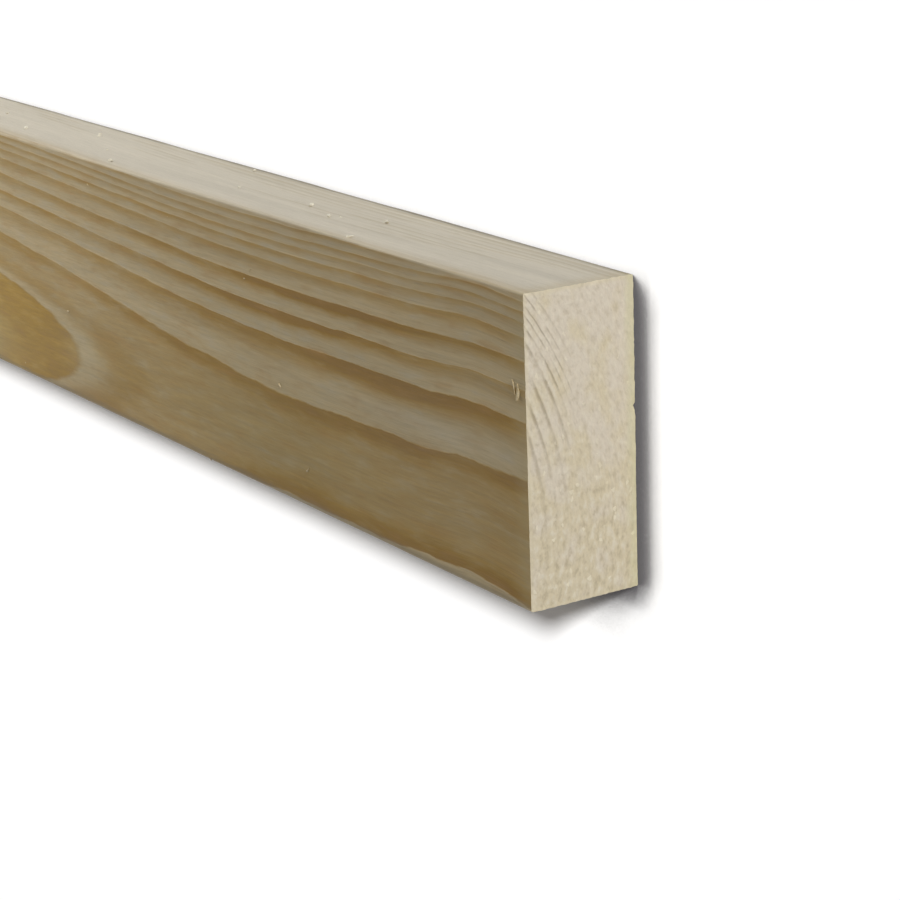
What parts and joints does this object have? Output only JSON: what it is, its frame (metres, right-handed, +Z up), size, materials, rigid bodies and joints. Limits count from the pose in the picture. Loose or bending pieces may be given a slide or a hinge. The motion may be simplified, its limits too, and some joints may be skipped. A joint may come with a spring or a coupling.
{
  "type": "timber plank",
  "caption": "Straight softwood plank of rectangular section, planed on its long faces and sawn square across its ends, for framing and general carpentry.",
  "frame": {"origin": "middle of the underside, where the plank lies flat on a level floor", "axes": "+X along the grain, towards the sawn end that the picture shows; +Y across the broad face; +Z up, out of the upper broad face"},
  "size_m": [1.8, 0.094, 0.038],
  "materials": {
    "softwood": "planed and bare, with rough sawn ends"
  },
  "bodies": {
    "root": {"plank": "softwood"}
  },
  "joints": []
}
